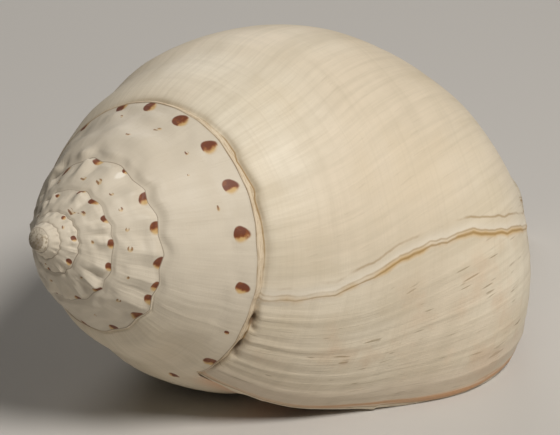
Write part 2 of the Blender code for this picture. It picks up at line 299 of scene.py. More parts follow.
# Brown spots above the sutures: turn, mm above the suture below, radius in mm.
SPOTS = (
    (-4.5, 0.5, 0), (-4.36, 0.5, 0.4), (-4.21, 0.6, 0.5), (-4.07, 0.7, 0.6), (-3.9, 0.3, 0.4),
    (-3.75, 0.2, 0.4), (-3.6, 0.3, 0.5), (-3.48, 1, 0.4), (-3.39, 0.3, 0.6), (-3.335, 0.3, 0.8),
    (-3.27, 0.1, 0.7), (-3.195, 0.2, 0.8), (-3.13, 0.3, 0.7), (-3.048, 0.2, 0.9), (-2.97, 0.2, 0.6),
    (-2.88, 0.3, 0.8), (-2.79, 0.2, 0.6), (-2.7, 0.3, 0.9), (-2.61, 0.3, 0.7), (-2.513, 0.9, 0.9),
    (-2.426, 0.1, 1.1), (-2.36, 0, 0.5), (-2.289, 0.3, 1.1), (-2.23, 0.3, 1.1), (-2.163, 0.2, 1.1),
    (-2.117, 0.2, 0.9), (-2.09, 0.3, 1), (-2.046, 0.3, 1.1), (-1.98, 0.3, 0.9), (-1.91, 0.3, 1.1),
    (-1.84, 0.4, 1), (-1.77, 0.5, 1.2), (-1.7, 0.4, 1), (-1.63, 0.3, 1.2), (-1.546, 0, 1.2),
    (-1.483, 0.4, 1.1), (-1.439, 0.9, 1.15), (-1.385, 1.5, 1.35), (-1.33, 1.6, 1.35), (-1.272, 1.7, 1.3),
    (-1.212, 1.75, 1.35), (-1.146, 1.5, 1.1), (-1.084, 1.3, 0.35), (-1.034, 0.5, 1), (-0.97, 0.6, 0.8),
    (-0.9, 0.8, 0.6), (-0.83, 1, 0)
)

# Small brown flecks higher on the whorls: turn, row, radius in mm.
FLECKS = (
    (-4.45, 0.4, 0), (-4.3, 0.4, 0.3), (-3.9, 0.5, 0.3), (-3.6, 0.4, 0.35), (-3.342, 0.2, 0.45),
    (-3.32, 0.42, 0.4), (-3.2, 0.4, 0.3), (-3.05, 0.4, 0.35), (-2.9, 0.35, 0.4), (-2.75, 0.4, 0.4),
    (-2.6, 0.4, 0.3), (-2.51, 0.4, 0.4), (-2.417, 0.34, 0.5), (-2.373, 0.35, 0.55), (-2.326, 0.36, 0.35),
    (-2.281, 0.38, 0.4), (-2.231, 0.34, 0.35), (-2.188, 0.33, 0.5), (-2.12, 0.36, 0.3),
    (-2.061, 0.38, 0.45), (-1.98, 0.45, 0.3), (-1.9, 0.5, 0.4), (-1.8, 0.4, 0.35), (-1.7, 0.5, 0.4),
    (-1.6, 0.4, 0.4), (-1.52, 0.6, 0.3), (-1.471, 0.8, 0.35), (-1.415, 0.36, 0.4), (-1.398, 0.67, 0.45),
    (-1.333, 0.62, 0.4), (-1.302, 0.46, 0.2), (-1.249, 0.63, 0.45), (-1.1, 0.6, 0)
)

# Colours, as linear red, green and blue.
IVORY = (0.76, 0.66, 0.51)
CREAM = (0.82, 0.745, 0.60)
HONEY = (0.70, 0.575, 0.385)
GREY_IVORY = (0.58, 0.505, 0.375)
SPIRE_WHITE = (0.635, 0.57, 0.465)
SPOT_BROWN = (0.155, 0.036, 0.013)
SPOT_EDGE = (0.34, 0.11, 0.022)
AMBER = (0.60, 0.37, 0.105)
SCAR_BROWN = (0.31, 0.18, 0.055)
# Olive brown serves the real dashes and the stained tip, and also painted shade in the groove below the
# suture band.
OLIVE_BROWN = (0.27, 0.20, 0.105)
BAND_CREAM = (0.73, 0.57, 0.38)
PEACH = (0.66, 0.45, 0.29)
LIP_ORANGE = (0.55, 0.27, 0.11)
LIP_LILAC = (0.56, 0.46, 0.37)
CHIP_WHITE = (0.86, 0.81, 0.71)
FLECK_BROWN = (0.26, 0.125, 0.035)
MOUTH_ORANGE = (0.74, 0.42, 0.24)
MOUTH_PALE = (0.80, 0.66, 0.52)
# Painted shade and grime in the suture crease, and painted shade in the pits.
SHADE_AND_GRIME_BROWN = (0.16, 0.095, 0.05)

# Noises in space: scale, detail and roughness.
NOISES = {
    "broad": (28, 3, 0.5),
    "cloud": (48, 5, 0.62),
    "patchy": (90, 4, 0.6),
    "grain": (1400, 3, 0.6),
    "fray": (900, 2, 0.5),
    "wander": (420, 2, 0.5),
    "tip": (2600, 2, 0.5)
}

# Noises that follow growth: rate per turn, rate per mm across the whorl, start, detail and roughness.
GROWTH_NOISES = {
    "fine lines": (190, 0.05, 0, 4, 0.65),
    "broad lines": (34, 0.02, 3, 4, 0.55),
    "fine threads": (5, 2.1, 5, 4, 0.6),
    "broad threads": (4, 0.42, 21, 3, 0.55),
    "dashes": (300, 0.24, 13, 1, 0.4),
    "strands": (60, 5, 9, 3, 0.6),
    "wander": (40, 1, 7, 2, 0.5)
}

# How far marks stray, in mm.
WANDER_ALONG = 0.9
WANDER_ACROSS = 0.5

# Turns over which the colours of the last part and of the body whorl come in.
YOUNG_COLOUR_TURNS = (-0.14, -0.10)
BODY_COLOUR_TURNS = (-1.02, -0.9)

# Bands along the lip, in turns: where each begins, is full, is full to, and ends.
LILAC_TURNS = (-0.038, -0.024, -0.0125, -0.0085)
ORANGE_TURNS = (-0.0115, -0.0085, -0.0055, -0.003)
BROWN_LINE_TURNS = (-0.0050, -0.0040, -0.0035, -0.0025)

# Gloss of the shell and of its mouth, and relief finer than the mesh, in metres.
SHELL_ROUGHNESS = 0.5
ROUGHNESS_SWING = 0.2
MOUTH_GLOSS = 0.22
SHELL_SPECULAR = 0.28
BUMP_STRENGTH = 0.5
BUMP_HEIGHT = 0.00035

# A plain pale floor, in metres, and a soft studio light: place, size, power and colour of each lamp.
FLOOR_HALF = 3.0
FLOOR_COLOUR = (0.60, 0.58, 0.55)
FLOOR_ROUGHNESS = 0.75
LAMPS = {
    "key": ((-0.13, -0.53, 0.70), 0.26, 6.4, (1.0, 0.962, 0.915)),
    "back": ((0.50, 0.50, 0.45), 0.5, 1.5, (1.0, 0.97, 0.93))
}
LAMP_AIM = Vector((0, 0, 0.03))
FILL_COLOUR = (1.0, 0.96, 0.90)
FILL_STRENGTH = 0.045

# The camera, measured from the surface and the middle of the shell.
CAMERA_PLACE = Vector((-0.29039, -0.2377, 0.1922))
CAMERA_HEADING = math.radians(40.2)
CAMERA_TILT = math.radians(23.94)
CAMERA_ROLL = math.radians(-3.07)
CAMERA_LENS = 147.5
CAMERA_SENSOR = 36
CAMERA_NEAR = 0.01


def smooth(x):
    x = np.clip(x, 0, 1)
    return x * x * (3 - 2 * x)


def hump(x):
    return np.exp(-x * x)


def spline_weights(knots, at):
    """Weight of each knot's value in a natural cubic spline read at the given places."""
    count = len(knots)
    gap = np.diff(knots)
    left = np.zeros((count, count))
    right = np.zeros((count, count))
    left[0, 0] = left[-1, -1] = 1
    for i in range(1, count - 1):
        left[i, i - 1:i + 2] = gap[i - 1], 2 * (gap[i - 1] + gap[i]), gap[i]
        right[i, i - 1:i + 2] = 6 / gap[i - 1], -6 / gap[i - 1] - 6 / gap[i], 6 / gap[i]
    curvature = np.linalg.solve(left, right)
    at = np.clip(np.asarray(at, float), knots[0], knots[-1])
    k = np.clip(np.searchsorted(knots, at, side="right") - 1, 0, count - 2)
    a = ((knots[k + 1] - at) / gap[k])[..., None]
    b = 1 - a
    unit = np.eye(count)
    bend = ((a ** 3 - a) * curvature[k] + (b ** 3 - b) * curvature[k + 1]) * (gap[k] ** 2 / 6)[..., None]
    return a * unit[k] + b * unit[k + 1] + bend


def along(table, at):
    knots = np.array(sorted(table), float)
    return spline_weights(knots, at) @ np.array([table[key] for key in sorted(table)], float)


def straight(table, at):
    keys = sorted(table)
    return np.interp(at, keys, [table[key] for key in keys])


def ripple(name, x):
    """A smooth, seeded, uneven wave of about unit height."""
    slowest, fastest, count, seed = WAVES[name]
    rng = np.random.default_rng(seed)
    rates = np.geomspace(slowest, fastest, count) * rng.uniform(0.85, 1.15, count)
    phases = rng.uniform(0, 2 * math.pi, count)
    total = sum(np.sin(2 * math.pi * rate * x + phase) for rate, phase in zip(rates, phases))
    return total / math.sqrt(count)


def before(span, at):
    """1 before a span begins, 0 after it ends, and smooth between."""
    start, end = span
    return smooth((end - at) / (end - start))


def after(span, at):
    """0 before a span begins, 1 after it ends, and smooth between."""
    start, end = span
    return smooth((at - start) / (end - start))


def knob_wave(turn):
    """1 on the crest of each knob and 0 between knobs, with knobs a little unevenly spaced."""
    phase = KNOBS_PER_TURN * turn + KNOB_SPACING_DRIFT * ripple("knob spacing", turn)
    crest = (1 - np.abs(np.sin(math.pi * phase))) ** (1 / KNOB_SHARPNESS)
    return crest * (1 + KNOB_UNEVENNESS * ripple("knob height", turn))


def even_coil(turn):
    flat_side = sum(hump((turn - middle) / FLAT_SIDE_WIDTH) for middle in FLAT_SIDE_TURNS)
    share = 1 - SPIRE_NARROWING * before(NARROW_TURNS, turn) - FLAT_SIDE_SHARE * flat_side
    radius = SUTURE_RADIUS * SUTURE_RADIUS_GROWTH ** turn * share
    depth = SUTURE_DEPTH * SUTURE_DEPTH_GROWTH ** turn - NIPPLE_RISE * before(NIPPLE_TURNS, turn)
    return (radius ** 4 + NIPPLE_RADIUS ** 4) ** 0.25, depth


def suture(turn):
    radius, depth = even_coil(turn)
    radius_before, depth_before = even_coil(turn - 1)
    bend = (knob_wave(turn - 1) - 0.5) * before(KNOB_TURNS, turn - 1)
    wobble = SUTURE_WOBBLE * ripple("suture wobble", turn)
    wobble = wobble * after(WOBBLE_STARTS, turn) * before(WOBBLE_ENDS, turn)
    taper = START_TAPER * before(TAPER_TURNS, turn)
    drift = along(SUTURE_DRIFT, turn) + KNOB_DRIFT * bend + wobble + taper
    return radius + drift * (radius - radius_before), depth + drift * (depth - depth_before)


def stations(turn):
    """Radius and depth of every station of the profile, for each turn."""
    r0, d0 = suture(turn)
    r1, d1 = suture(turn + 1)
    dr, dd = r1 - r0, d1 - d0
    body = after(BODY_TURNS, turn)
    radii, depths = [r0], [d0]
    for row, spire, full in zip(STATION_ROWS[1:4], SPIRE_BULGE, BODY_BULGE):
        bulge = spire + (full - spire) * body
        radii.append(r0 + row * dr + bulge * dd)
        depths.append(d0 + row * dd - bulge * dr)
    flare = 1 + LIP_FLARE * after(FLARE_TURNS, turn)
    free = after(COLUMELLA_TURNS, turn)
    for i, (radius, radius_growth, depth, depth_growth, core) in enumerate(LOWER_STATIONS):
        spread = radius * radius_growth ** turn * (flare if i < FLARED_STATIONS else 1)
        radii.append(core + (spread - core) * free if core else spread)
        depths.append(depth * depth_growth ** turn)
    return np.stack(radii, -1), np.stack(depths, -1)


def whorl_height(turn):
    """Length of the straight line from each suture point to the one a turn later."""
    r0, d0 = suture(turn)
    r1, d1 = suture(turn + 1)
    return np.hypot(r1 - r0, d1 - d0)


def sweep(turn, row):
    return np.radians(along(LIP_SWEEP_DEGREES, row)) * after(SWEEP_TURNS, turn)[:, None]


def profile_weights(turn, row):
    """How much each station counts, for each turn and each of its rows."""
    whole = spline_weights(STATION_ROWS, row)
    own = np.zeros_like(whole)
    own[..., :SPIRE_STATIONS] = spline_weights(STATION_ROWS[:SPIRE_STATIONS], row)
    share = before(SPIRE_PROFILE_TURNS, turn)[:, None] * (row <= 1)
    return whole + share[..., None] * (own - whole)


def outer_wall(turn, row):
    """Radius, depth and angle of the outside, for each turn and each of its rows."""
    weights = profile_weights(turn, row)
    radii, depths = stations(turn)
    radius = np.einsum("grn,gn->gr", weights, radii)
    depth = np.einsum("grn,gn->gr", weights, depths)
    return radius, depth, LIP_ANGLE + 2 * math.pi * turn[:, None] + sweep(turn, row)


def raised(turn, row, height):
    """The outer wall pushed out along its own normal."""
    r_up, d_up, _ = outer_wall(turn, row - ROW_STEP)
    r_down, d_down, _ = outer_wall(turn, row + ROW_STEP)
    radius, depth, angle = outer_wall(turn, row)
    tangent_r, tangent_d = r_down - r_up, d_down - d_up
    length = np.hypot(tangent_r, tangent_d)
    return radius + height * tangent_d / length, depth - height * tangent_r / length, angle


def knobs(turn, row):
    crest = straight(KNOB_HEIGHT, turn) * whorl_height(turn) * before(KNOB_TURNS, turn) * knob_wave(turn)
    bell = hump((row - KNOB_ROW) / KNOB_WIDTH) * after(KNOB_RISE_ROWS, row) * before(KNOB_FALL_ROWS, row)
    return crest[:, None] * bell


def folds(turn, even_row):
    inside = before(FOLD_TURNS, turn)[:, None]
    gap = FOLD_ROWS[1] - FOLD_ROWS[0]
    crest = sum(smooth(1 - 2 * np.abs(even_row - row) / gap) for row in FOLD_ROWS)
    return FOLD_HEIGHT * inside * crest


def suture_band(turn, mm):
    """Raised band along the suture, the groove below it, and the slight dip of the shoulder."""
    width = straight(BAND_WIDTH, turn)[:, None]
    size = np.minimum((width - NO_BAND_WIDTH) / (FULL_BAND_WIDTH - NO_BAND_WIDTH), 1)
    edge = BAND_EDGE * width
    band = BAND_HEIGHT * size * smooth(mm / edge) * smooth((width - mm) / edge + 0.5)
    groove = GROOVE_DEPTH * size * hump((mm - GROOVE_PLACE * width) / (GROOVE_WIDTH * width))
    dip = SHOULDER_DIP * size * smooth(mm / width) * hump(mm / SHOULDER_WIDTH)
    return (band - groove - dip) * before(BAND_TURNS, turn)[:, None]


def early_swelling(turn, mm):
    height = whorl_height(turn)[:, None]
    share = mm / height
    bell = smooth(share / SWELLING_START) * hump((share - SWELLING_PLACE) / SWELLING_WIDTH) * (share < 1)
    return EARLY_SWELLING * height * before(SWELLING_TURNS, turn)[:, None] * bell


def growth_wrinkles(turn, row, mm):
    young = after(YOUNG_TURNS, turn)[:, None]
    near = hump(mm / LINE_REACH)
    bent = turn[:, None] + LINE_BEND * ripple("growth line bend", row)
    total = sum(ripple(name, bent) * (everywhere + young * (later + close * near))
                for name, (everywhere, later, close) in LINE_HEIGHTS.items())
    return total * smooth(mm / LINE_START)


def scar_path(row):
    """Turn of the growth scar on each row, with small bends."""
    return along(SCAR_TURN, row) + SCAR_BEND * ripple("scar bend", row) + SCAR_JAG * ripple("scar jag", row)


def scar_ridge(turn, row, around_mm):
    distance = (turn[:, None] - scar_path(row)) * around_mm
    uneven = 1 + SCAR_UNEVENNESS * ripple("scar height", row)
    ridge = SCAR_HEIGHT * hump(distance / SCAR_WIDTH) * uneven
    below = smooth((distance + SCAR_STEP_START) / SCAR_STEP_WIDTH)
    step = SCAR_STEP * below * hump(distance / SCAR_STEP_REACH)
    faint = sum(height * hump((distance + turns_back * around_mm + mm_back) / width)
                for turns_back, mm_back, height, width in FAINT_RIDGES)
    return (ridge - step + faint) * before(SCAR_FADE_ROWS, row)


def lip_ridge(turn, around_mm):
    ridge = LIP_RIDGE_HEIGHT * hump((turn[:, None] - LIP_RIDGE_TURN) * around_mm / LIP_RIDGE_WIDTH)
    return ridge - LIP_WEAR * hump(turn[:, None] * around_mm / LIP_WEAR_WIDTH)


def pits(turn, mm, around_mm):
    total = 0
    for place_turn, below, length, width, depth in PITS:
        across = (turn - place_turn) * around_mm / length
        total = total + depth * hump(across) * hump((mm - below) / width) * smooth(mm / PIT_CLEARANCE)
    return total


def patches(name, slant, turn, row):
    """Uneven patches: a wave round the shell times a wave across the whorl, both a little slanted."""
    per_row, per_turn = slant
    round_wave = ripple(name + " round", turn[:, None] + per_row * row)
    return round_wave * ripple(name + " across", row + per_turn * turn[:, None])


def unevenness(turn, row, mm):
    """Slow swells of the whole shell, and small lumps on its early whorls."""
    swells = SWELL_HEIGHT * patches("swells", SWELL_SLANT, turn, row)
    swells = swells * smooth(mm / SWELL_CLEARANCE) * after(SWELL_TURNS, turn)[:, None]
    lump_height = (LUMP_HEIGHT * whorl_height(turn) * before(LUMP_TURNS, turn))[:, None]
    return swells + patches("lumps", LUMP_SLANT, turn, row) * lump_height * smooth(mm / LUMP_CLEARANCE)


def spiral_cords(turn, row):
    drift = CORD_DRIFT * ripple("cord drift", turn)[:, None]
    return CORD_HEIGHT * ripple("cords", row + drift) * after(CORD_ROWS, row)


def outside_relief(turn, row, even_row):
    mm = row * whorl_height(turn)[:, None]
    around = 2 * math.pi * np.maximum(outer_wall(turn, row)[0], 1)
    exposed = np.where(row < 1, before(COVERED_ROWS, row), after(OPEN_TURNS, turn)[:, None])
    marks = growth_wrinkles(turn, row, mm) + unevenness(turn, row, mm) + spiral_cords(turn, row)
    marks = marks + scar_ridge(turn, row, around) + lip_ridge(turn, around)
    marks = marks - pits(turn[:, None], mm, around)
    form = knobs(turn, row) + folds(turn, even_row) + suture_band(turn, mm) + early_swelling(turn, mm)
    return form + marks * exposed


def place(radius, depth, angle):
    return np.stack([radius * np.cos(angle), radius * np.sin(angle), depth], -1)


def end_rows(turn):
    """Row where the hollow ends, for the near wall that lies one turn further in."""
    depth_in = np.clip((CANAL_CLOSES - turn) / (CAVITY_TURNS + CANAL_CLOSES), 0, 1)
    return LAST_ROW - (LAST_ROW - DEEP_END_ROW) * smooth(depth_in) ** CLOSING_POWER


def mouth_rows(turn, rows):
    """Rows of the near wall, drawn together towards the end of the hollow."""
    grid = np.repeat(rows[None], len(turn), 0)
    share = (end_rows(turn + 1) - CORNER_ROW) / (LAST_ROW - CORNER_ROW)
    return np.where(grid > CORNER_ROW, CORNER_ROW + (grid - CORNER_ROW) * share[:, None], grid)


def even_rows(first, count):
    """Even rows from the first to the last, the same for so many turns."""
    return np.repeat(np.arange(first, LAST_ROW + ROW_STEP / 2, ROW_STEP)[None], count, 0)


def inner_wall(turn, rows):
    """The far wall of the hollow: the outside moved in by the wall, with its foot drawn up further in."""
    thin = 1 - (1 - CANAL_WALL_SHARE) * after(CANAL_WALL_ROWS, rows)
    grid = np.repeat(rows[None], len(turn), 0)
    wall = WALL * WALL_GROWTH ** np.minimum(turn - WALL_FULL_TURN, 0)[:, None] * thin[None]
    radius, depth, angle = raised(turn, grid, -wall)
    outer_radius, outer_depth, _ = outer_wall(turn, even_rows(0, len(turn)))
    near_rows = even_rows(1, len(turn))
    near_radius, near_depth, _ = outer_wall(turn - 1, near_rows)
    ends = end_rows(turn)
    middle_row = np.searchsorted(rows, MIDDLE_ROW)
    for k in range(len(turn)):
        clearance = LEAST_CLEARANCE
        if turn[k] < CANAL_CLOSES:
            bottom = np.interp(ends[k], near_rows[k], near_depth[k])
            middle = depth[k, middle_row]
            squeeze = (bottom - middle) / (depth[k, -1] - middle)
            moved = np.where(depth[k] > middle, middle + (depth[k] - middle) * squeeze, depth[k])
            low = np.interp(moved, depth[k], radius[k])
            radius[k] = np.where(depth[k] > middle, low, radius[k])
            depth[k] = moved
            share = np.clip((moved - middle) / (bottom - middle), 0, 1)
            clearance = np.maximum(CLOSED_END_CLEARANCE * (1 - share), LEAST_CLEARANCE)
        core = np.interp(depth[k], near_depth[k], near_radius[k])
        room = np.interp(depth[k], outer_depth[k], outer_radius[k]) - core
        radius[k] = np.maximum(radius[k], core + np.minimum(clearance, HOLLOW_SHARE * room))
    return place(radius, depth, angle)


class Skin:
    """Points and faces of one closed surface; each point keeps its turn, row and place in the mouth."""

    def __init__(self):
        self.points = []
        self.faces = []
        self.growth = []

    def point(self, place_mm, turn, row, inside):
        self.points.append(np.asarray(place_mm, float))
        self.growth.append((turn, row, inside))
        return len(self.points) - 1

    def face(self, *corners):
        kept = [c for n, c in enumerate(corners) if c != corners[n - 1]]
        if len(kept) > 2:
            self.faces.append(kept)

    def fan(self, loop, lift):
        turn, row, inside = self.growth[loop[0]]
        middle = np.mean([self.points[k] for k in loop], 0) + np.array((0, 0, lift))
        centre = self.point(middle, turn, row, inside)
        for n, corner in enumerate(loop):
            self.face(centre, corner, loop[(n + 1) % len(loop)])

    def join(self, line, other):
        """Close the gap between two lines of points that share both their ends."""
        i = j = 0
        while i < len(line) - 1 or j < len(other) - 1:
            depth = self.points[line[min(i + 1, len(line) - 1)]][2]
            depth_across = self.points[other[min(j + 1, len(other) - 1)]][2]
            if j == len(other) - 1 or (i < len(line) - 1 and depth < depth_across):
                self.face(line[i + 1], line[i], other[j])
                i += 1
            else:
                self.face(line[i], other[j], other[j + 1])
                j += 1


def column_turn(i):
    """Growth of a column; columns crowd together once a turn, near the lip."""
    whole, part = divmod(i, COLUMNS)
    share = part / COLUMNS
    wave = math.sin(2 * math.pi * (share - CROWDED_AT)) - math.sin(-2 * math.pi * CROWDED_AT)
    return whole + share - COLUMN_CROWDING / (2 * math.pi) * wave


def mesh_rows():
    middle = np.linspace(BAND_ROWS[-1], LAST_SPIRE_ROWS[0], SPIRE_ROW_COUNT + 1)[1:]
    spire = np.concatenate([BAND_ROWS, middle, LAST_SPIRE_ROWS[1:]])
    lip = np.linspace(1, CORNER_ROW, LIP_ROWS + 1)[1:]
    low = np.linspace(CORNER_ROW, LAST_ROW, LOW_ROW_COUNT + 1)[1:]
    return np.concatenate([spire, lip, low]), len(spire) - 1


def outside(skin, rows, top, first, last_inside):
    """Spire, body whorl and the near wall inside the mouth; neighbouring turns share the suture."""
    corner, end = top + LIP_ROWS, len(rows) - 1
    columns = range(first, 1)
    turn = np.array([column_turn(i) for i in columns])
    grid = mouth_rows(turn, rows)
    points = place(*raised(turn, grid, outside_relief(turn, grid, rows[None])))

    def shows(i, j):
        return i >= -COLUMNS or j < top or (j >= corner and i >= last_inside - COLUMNS)

    inside = before(MOUTH_TURNS, turn)[:, None] * after(MOUTH_ROWS, rows)
    ids = {}
    for k, i in enumerate(columns):
        for j in range(end + 1):
            if shows(i, j) and (i, j) != (-COLUMNS, top):
                ids[i, j] = skin.point(points[k, j], turn[k], grid[k, j], inside[k, j])
    for i in range(first, -COLUMNS + 1):
        ids[i, top] = ids[i + COLUMNS, 0]
    for i in range(first, 0):
        for j in range(end):
            if shows(i, j):
                skin.face(ids[i, j], ids[i + 1, j], ids[i + 1, j + 1], ids[i, j + 1])
    return ids


def hollow(skin, near, rows, top, last_inside, canal_closes):
    """The far wall of the hollow, joined to the near wall at its top and, further in, its foot."""
    corner, end = top + LIP_ROWS, len(rows) - 1
    columns = range(last_inside, 1)
    turn = np.array([column_turn(i) for i in columns])
    far_rows = rows + INNER_FIRST_ROW * (1 - rows / LAST_ROW) ** 3
    points = inner_wall(turn, far_rows)
    ids = {}
    for k, i in enumerate(columns):
        for j in range(end + 1):
            if j == 0:
                ids[i, j] = near[i - COLUMNS, corner]
            elif j == end and i <= canal_closes:
                ids[i, j] = near[i - COLUMNS, end]
            else:
                ids[i, j] = skin.point(points[k, j], turn[k], far_rows[j], 1)
    for i in range(last_inside, 0):
        for j in range(end):
            skin.face(ids[i, j], ids[i, j + 1], ids[i + 1, j + 1], ids[i + 1, j])
    return ids


def between(skin, a, b, share, bulge, turn, row):
    start, finish = skin.points[a], skin.points[b]
    middle = start + (finish - start) * share
    return skin.point(middle + bulge * math.sin(math.pi * share), turn, row, share)


def lip_edge(skin, near, far, rows, top):
    """The rounded edge of the outer lip, from the suture to the canal."""
    end = len(rows) - 1
    ids = {}
    for j in range(end + 1):
        a, b = near[0, j], far[0, j]
        thickness = np.linalg.norm(skin.points[b] - skin.points[a])
        angle = math.atan2(skin.points[a][1], skin.points[a][0])
        uneven = 1 + LIP_UNEVENNESS * float(ripple("lip edge", rows[j]))
        forward = np.array((-math.sin(angle), math.cos(angle), 0)) * LIP_ROUNDING * thickness * uneven
        for k in range(LIP_ROWS + 1):
            if k == 0:
                ids[j, k] = a
            elif k == LIP_ROWS:
                ids[j, k] = b
            elif j == 0:
                ids[j, k] = near[-COLUMNS, top + k]
            else:
                ids[j, k] = between(skin, a, b, k / LIP_ROWS, forward, 0, rows[j])
    for j in range(end):
        for k in range(LIP_ROWS):
            skin.face(ids[j, k], ids[j, k + 1], ids[j + 1, k + 1], ids[j + 1, k])
    return ids


def canal_end(skin, near, far, edge, end, canal_closes):
    """The end of the canal: a rounded ring around the opening, and the end of the columella."""
    ids = {}
    lift = np.array((0, 0, TIP_ROUNDING))
    for i in range(canal_closes, 1):
        for k in range(LIP_ROWS + 1):
            if k == 0:
                ids[i, k] = near[i, end]
            elif k == LIP_ROWS:
                ids[i, k] = far[i, end]
            elif i == 0:
                ids[i, k] = edge[end, k]
            else:
                share = k / LIP_ROWS
                ids[i, k] = between(skin, near[i, end], far[i, end], share, lift, column_turn(i), LAST_ROW)
    for i in range(canal_closes, 0):
        for k in range(LIP_ROWS):
            skin.face(ids[i, k], ids[i + 1, k], ids[i + 1, k + 1], ids[i, k + 1])
    columella = [near[i, end] for i in range(canal_closes - COLUMNS, canal_closes + 1)]
    skin.fan(columella + [ids[canal_closes, k] for k in range(1, LIP_ROWS)], TIP_ROUNDING)


def shell_skin():
    rows, top = mesh_rows()
    end = len(rows) - 1
    corner = top + LIP_ROWS
    first = -round(SPIRE_TURNS * COLUMNS)
    last_inside = -round(HOLLOW_TURNS_DRAWN * COLUMNS)
    canal_closes = round(CANAL_CLOSES * COLUMNS)
    skin = Skin()
    near = outside(skin, rows, top, first, last_inside)
    far = hollow(skin, near, rows, top, last_inside, canal_closes)
    edge = lip_edge(skin, near, far, rows, top)
    canal_end(skin, near, far, edge, end, canal_closes)
    deepest = [far[last_inside, j] for j in range(end + 1)]
    skin.join(deepest, [near[last_inside - COLUMNS, j] for j in range(corner, end + 1)])
    apex = [near[i, 0] for i in range(first, first + COLUMNS + 1)]
    apex += [near[first, j] for j in range(top - 1, 0, -1)]
    skin.fan(apex[::-1], -APEX_DOME)
    return skin


def lay_down(points):
    """Turn the shell onto its aperture, apex towards -X, with small worn flats where it rests."""
    down = DOWN / np.linalg.norm(DOWN)
    axis = np.array((0.0, 0.0, 1.0))
    forward = axis - down * down[2]
    forward /= np.linalg.norm(forward)
    side = np.cross(-down, forward)
    x = points @ forward - ORIGIN_ALONG
    y = points @ side - ORIGIN_ACROSS
    z = np.maximum(REST_DISTANCE - points @ down, 0)
    return np.stack([x, y, z], -1) * MM


def chain(marks, turn):
    """Where each corner lies along a chain of marks, as a mark's number, place and size."""
    turns, places, sizes = zip(*marks)
    number = np.interp(turn, turns, np.arange(len(marks)))
    return number, np.interp(turn, turns, places), np.interp(turn, turns, sizes)


def chain_gap(marks, turn, around):
    """Distance in mm that one mark takes along the chain."""
    turns = np.array([mark[0] for mark in marks])
    middles = (turns[1:] + turns[:-1]) / 2
    return np.interp(turn, middles, np.diff(turns)) * around


def corner_growth(mesh, skin):
    """Vertex, turn, row and place in the mouth of every corner; each whorl counts its own suture."""
    vertex = np.empty(len(mesh.loops), np.int32)
    mesh.loops.foreach_get("vertex_index", vertex)
    corners = np.empty(len(mesh.polygons), np.int32)
    mesh.polygons.foreach_get("loop_total", corners)
    face = np.repeat(np.arange(len(corners)), corners)
    turn, row, inside = np.array(skin.growth)[vertex].T
    oldest = np.full(len(corners), np.inf)
    np.minimum.at(oldest, face, turn)
    next_whorl = turn > oldest[face] + 0.5
    return vertex, turn - next_whorl, row + next_whorl, inside


def store(mesh, name, *parts):
    """Keep up to three values at every corner of the mesh, under one name."""
    values = np.zeros((len(mesh.loops), 3), np.float32)
    values[:, :len(parts)] = np.stack(parts, -1)
    layer = mesh.attributes.new(name, "FLOAT_VECTOR", "CORNER")
    layer.data.foreach_set("vector", values.ravel())


def store_growth(mesh, skin):
    """What the finish needs to know at each corner: growth, and where the nearest marks are."""
    vertex, turn, row, inside = corner_growth(mesh, skin)
    around = 2 * math.pi * np.hypot(*np.array(skin.points)[vertex].T[:2])
    height = whorl_height(turn)
    store(mesh, "growth", turn, row, inside)
    number, above, size = chain(SPOTS, turn)
    store(mesh, "spots", number, (1 - row) * height - above, size)
    fleck, fleck_row, fleck_size = chain(FLECKS, turn)
    store(mesh, "flecks", fleck, (row - fleck_row) * height, fleck_size)
    store(mesh, "gaps", chain_gap(SPOTS, turn, around), chain_gap(FLECKS, turn, around), around)
    store(mesh, "edges", row * height, straight(BAND_WIDTH, turn), (turn - scar_path(row)) * around)
    # Pit depth, which the finish uses for painted shade in the pits.
    pit = np.clip(pits(turn, row * height, around), 0, 1)
    chip_turn, chip_row, chip_length, chip_width = CHIP
    chip = hump((turn - chip_turn) * around / chip_length) * hump((row - chip_row) * height / chip_width)
    store(mesh, "worn", pit, chip * (row < 1))


